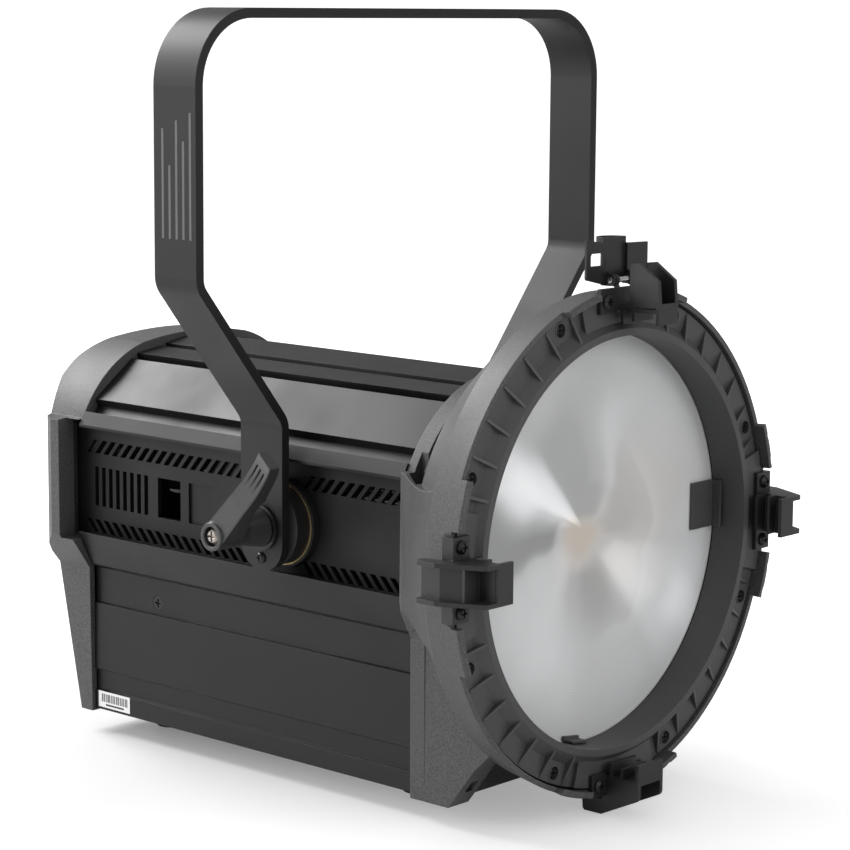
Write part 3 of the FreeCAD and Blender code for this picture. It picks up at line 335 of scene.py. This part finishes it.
def lens_look(centre, radius):
    """Frosted stepped lens: fans and pools of painted highlight and painted shade, and a warm spot
    from the emitter.
    """
    look = Look("stepped_lens")
    parts = look.add("ShaderNodeSeparateXYZ")
    look.plug(parts.inputs[0], look.place)
    x = look.math("DIVIDE", look.math("SUBTRACT", parts.outputs["X"], centre[0]), radius)
    z = look.math("DIVIDE", look.math("SUBTRACT", parts.outputs["Z"], centre[2]), radius)
    drift = look.span(look.noise(26.0, 1.0), -LENS_DRIFT, LENS_DRIFT)
    x, z = look.math("ADD", x, drift), look.math("SUBTRACT", z, drift)
    reach = look.length(x, z)

    def pool(at_x, at_z, lean, along, across, weight):
        """Soft oval: weight at its middle, 0 outside."""
        c, s = math.cos(math.radians(lean)), math.sin(math.radians(lean))
        dx, dz = look.math("SUBTRACT", x, at_x), look.math("SUBTRACT", z, at_z)
        far = look.length(look.weighted(dx, c / along, dz, s / along),
                          look.weighted(dx, -s / across, dz, c / across))
        return look.smooth(far, 1.0, 0.0, 0.0, weight)

    def fan(direction, half, start, stop, weight, edge=0.22):
        """Soft fan between two radii: weight along its middle line, 0 at its sides."""
        c, s = math.cos(math.radians(direction)), math.sin(math.radians(direction))
        facing = look.math("DIVIDE", look.weighted(x, c, z, s), look.math("MAXIMUM", reach, 0.001))
        inside = look.smooth(facing, math.cos(math.radians(half)), 1.0, 0.0, weight)
        begin = look.smooth(reach, start, start + edge / 2, 0.0, 1.0)
        end = look.smooth(reach, stop - edge, stop + edge, 1.0, 0.0)
        return look.math("MULTIPLY", inside, look.math("MULTIPLY", begin, end))

    shade = look.span(look.noise(14.0, 2.0), LENS_BASE - 0.02, LENS_BASE + 0.02)
    # the lens's own tone, with painted highlights and painted shade added below
    for oval in LENS_PAINTED_POOLS:
        shade = look.math("ADD", shade, pool(*oval))
    for ray in LENS_PAINTED_FANS + [LENS_PAINTED_ARC]:
        shade = look.math("ADD", shade, fan(*ray))
    warm = look.math("ADD", *[pool(*oval) for oval in LENS_WARM])
    value = look.add("ShaderNodeVectorMath", operation="SCALE")
    look.plug(value.inputs[0], look.blend(warm, grey(1.0, 1.02), (1.0, 0.84, 0.68, 1)))
    look.plug(value.inputs["Scale"], look.math("MAXIMUM", shade, 0.05))
    fine = look.noise(1600.0)
    look.set(Base_Color=value.outputs[0], Roughness=look.span(fine, 0.40, 0.50),
             Normal=look.bump(fine, 0.02 * MM, 0.4))
    return look


def lens():
    """Stepped disc whose fine rings are cut round the optical axis."""
    low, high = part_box("fresnel_lens")
    centre = (low + high) / 2
    radius = (high.x - low.x) / 2
    front, back = low.y, high.y
    rings, turns = 70, 144
    rim, sunk = 4.0 * MM, 0.4 * MM
    clear = radius - rim
    profile = [(0.0, front + sunk)]
    for k in range(rings):
        inner = clear * (k + 0.08) / rings
        outer = clear * (k + 1) / rings
        step = (0.01 + 0.02 * k / rings) * MM
        profile += [(inner, front + sunk), (outer, front + sunk + step)]
    profile += [(clear, front), (radius, front), (radius, back), (0.0, back)]
    points = [Vector((centre.x, profile[0][1], centre.z))]
    for r, y in profile[1:-1]:
        for t in range(turns):
            a = 2 * math.pi * t / turns
            points.append(Vector((centre.x + r * math.cos(a), y, centre.z + r * math.sin(a))))
    points.append(Vector((centre.x, back, centre.z)))
    faces = []
    for t in range(turns):
        after = (t + 1) % turns
        faces.append((0, 1 + t, 1 + after))
        for k in range(len(profile) - 3):
            here = 1 + k * turns
            there = here + turns
            faces.append((here + t, there + t, there + after, here + after))
        last = 1 + (len(profile) - 3) * turns
        faces.append((last + t, len(points) - 1, last + after))
    made = new_piece("fresnel_glass", points, faces, lens_look(centre, radius))
    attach(made, "housing")
    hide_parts("fresnel_lens")


def paper_look():
    look = Look("sticker_paper")
    fine = look.noise(1200.0, 3.0)
    look.set(Base_Color=look.blend(look.span(fine, 0.0, 1.0), grey(0.72, 1.0), grey(0.82, 1.0)),
             Roughness=look.span(fine, 0.45, 0.6), Normal=look.bump(fine, 0.01 * MM, 0.5))
    return look


def ink_look(name, level):
    look = Look(name)
    fine = look.noise(2400.0, 3.0)
    look.set(Base_Color=look.blend(look.span(fine, 0.0, 1.0), grey(level * 0.7), grey(level * 1.2)),
             Roughness=look.span(fine, 0.45, 0.6), Normal=look.bump(fine, 0.01 * MM, 0.5))
    return look


def plate(face_x, out, y, z):
    """Corners of a thin plate on the left face at x = face_x, from mm; out, y and z are spans."""
    return (tuple(v * MM for v in (face_x - out[1], y[0], z[0])),
            tuple(v * MM for v in (face_x - out[0], y[1], z[1])))


def side_label():
    """Plain white sticker with bars of three widths, low on the left side."""
    face_x, front, back, low, high = -78.8, 113.7, 139.7, 14.4, 23.6
    printed = (0.13, 0.19)
    paper = plate(face_x, (0.0, 0.14), (front, back), (low, high))
    bars = []
    y, k = front + 2.0, 0
    while y < back - 2.5:
        width = (0.35, 0.8, 0.5)[k * k % 3 if k % 4 else 1]
        bars.append(plate(face_x, printed, (y, y + width), (low + 3.2, high - 1.4)))
        y += width + (0.5, 0.9, 0.4)[k % 3]
        k += 1
    bars.append(plate(face_x, printed, (front + 5.0, back - 6.0), (low + 1.2, low + 2.2)))
    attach(slabs("side_label", paper_look(), [paper]), "housing")
    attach(slabs("side_label_bars", ink_look("label_ink", 0.03), bars), "housing")


def yoke_marks():
    """Five plain bars that stand for the printed block on the yoke's left arm."""
    face_x, first_y, pitch, width, low = -156.0, -21.0, 4.9, 1.5, 292.0
    bars = []
    for k, length in enumerate((62.0, 48.0, 58.0, 36.0, 54.0)):
        y = first_y + pitch * k
        bars.append(plate(face_x, (-0.02, 0.08), (y, y + width), (low, low + length)))
    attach(slabs("yoke_marks", ink_look("pale_ink", 0.11), bars), "yoke")


lens()
side_label()
yoke_marks()


# ---------------------------------------------------------------- studio

CAMERA_AT = Vector((-1.05175, -0.97745, 0.40706))
CAMERA_YAW, CAMERA_DIP, CAMERA_ROLL = (math.radians(v) for v in (48.135, 8.926, 0.445))
CAMERA_LENS = 113.6                 # mm, on a 36 mm wide sensor
LIGHTS_AIM = Vector((0.0, 0.0, 0.2))
PAPER = 0.75                        # tone of the studio floor and backdrop
LIT_SPOT = (-0.2, 0.15, 0.0)        # the floor is brightest here and needs the least glow


def stage_look():
    """Pale paper; to the camera it glows a little, more so away from the lit spot."""
    look = Look("studio_white")
    fine = look.noise(6.0, 3.0)
    seen = look.add("ShaderNodeLightPath").outputs["Is Camera Ray"]
    away = look.add("ShaderNodeVectorMath", operation="DISTANCE")
    look.plug(away.inputs[0], look.place)
    away.inputs[1].default_value = LIT_SPOT
    near_glow = look.span(away.outputs["Value"], 0.14, 0.55, 0.12, 0.5)
    far_glow = look.span(away.outputs["Value"], 0.0, 0.15, 0.5, 1.0)
    glow = look.math("ADD", near_glow, far_glow)
    look.set(Base_Color=look.blend(look.span(fine, 0.0, 1.0), grey(PAPER * 0.985, 1.0),
                                   grey(PAPER, 1.0)),
             Roughness=look.span(fine, 0.37, 0.43),
             Emission_Color=(1, 1, 1, 1), Emission_Strength=look.math("MULTIPLY", seen, glow))
    return look


def sweep():
    """Pale floor that curves up into a backdrop behind the lamp, as the camera sees it."""
    start, run, radius, height, half_width, steps = -12.0, 3.2, 2.0, 5.0, 12.0, 24
    points, faces = [], []
    line = [(start, 0.0), (run, 0.0)]
    for k in range(1, steps + 1):
        a = math.pi / 2 * k / steps
        line.append((run + radius * math.sin(a), radius * (1 - math.cos(a))))
    line.append((run + radius, height))
    away = Vector((math.sin(CAMERA_YAW), math.cos(CAMERA_YAW), 0))
    side = Vector((math.cos(CAMERA_YAW), -math.sin(CAMERA_YAW), 0))
    for d, z in line:
        for across in (-half_width, half_width):
            points.append(away * d + side * across + Vector((0, 0, z)))
    for k in range(len(line) - 1):
        faces.append((2 * k, 2 * k + 1, 2 * k + 3, 2 * k + 2))
    new_piece("studio_sweep", points, faces, stage_look(), True)


def camera():
    """Camera of the main picture; its roll levels the lamp's edges."""
    data = bpy.data.cameras.new("camera")
    data.lens, data.sensor_width = CAMERA_LENS, 36.0
    data.clip_start, data.clip_end = 0.05, 50.0
    made = bpy.data.objects.new("camera", data)
    bpy.context.scene.collection.objects.link(made)
    ahead = Vector((math.sin(CAMERA_YAW) * math.cos(CAMERA_DIP),
                    math.cos(CAMERA_YAW) * math.cos(CAMERA_DIP), -math.sin(CAMERA_DIP)))
    right = Vector((math.cos(CAMERA_YAW), -math.sin(CAMERA_YAW), 0))
    up = right.cross(ahead)
    c, s = math.cos(CAMERA_ROLL), math.sin(CAMERA_ROLL)
    axes = (c * right + s * up, c * up - s * right, -ahead)
    made.matrix_world = Matrix.Translation(CAMERA_AT) @ Matrix(axes).transposed().to_4x4()
    bpy.context.scene.camera = made


def softbox(name, place, width, height, power):
    """Rectangular light that faces the lamp; metres and watts."""
    data = bpy.data.lights.new(name, "AREA")
    data.shape = "RECTANGLE"
    data.size, data.size_y = width, height
    data.energy = power
    made = bpy.data.objects.new(name, data)
    bpy.context.scene.collection.objects.link(made)
    made.location = place
    made.rotation_euler = (LIGHTS_AIM - Vector(place)).to_track_quat("-Z", "Y").to_euler()


def studio():
    world = bpy.data.worlds.new("studio")
    bpy.context.scene.world = world
    world.use_nodes = True
    background = world.node_tree.nodes["Background"]
    background.inputs["Color"].default_value = (1, 1, 1, 1)
    background.inputs["Strength"].default_value = 0.52
    softbox("key", (-0.25, 1.8, 1.45), 1.3, 1.0, 58.0)
    softbox("front_fill", (0.1, -2.4, 1.0), 1.6, 1.2, 20.0)
    softbox("side_fill", (-2.0, 1.2, 0.9), 1.4, 1.2, 26.0)
    bpy.context.scene.view_settings.view_transform = "Standard"


sweep()
camera()
studio()
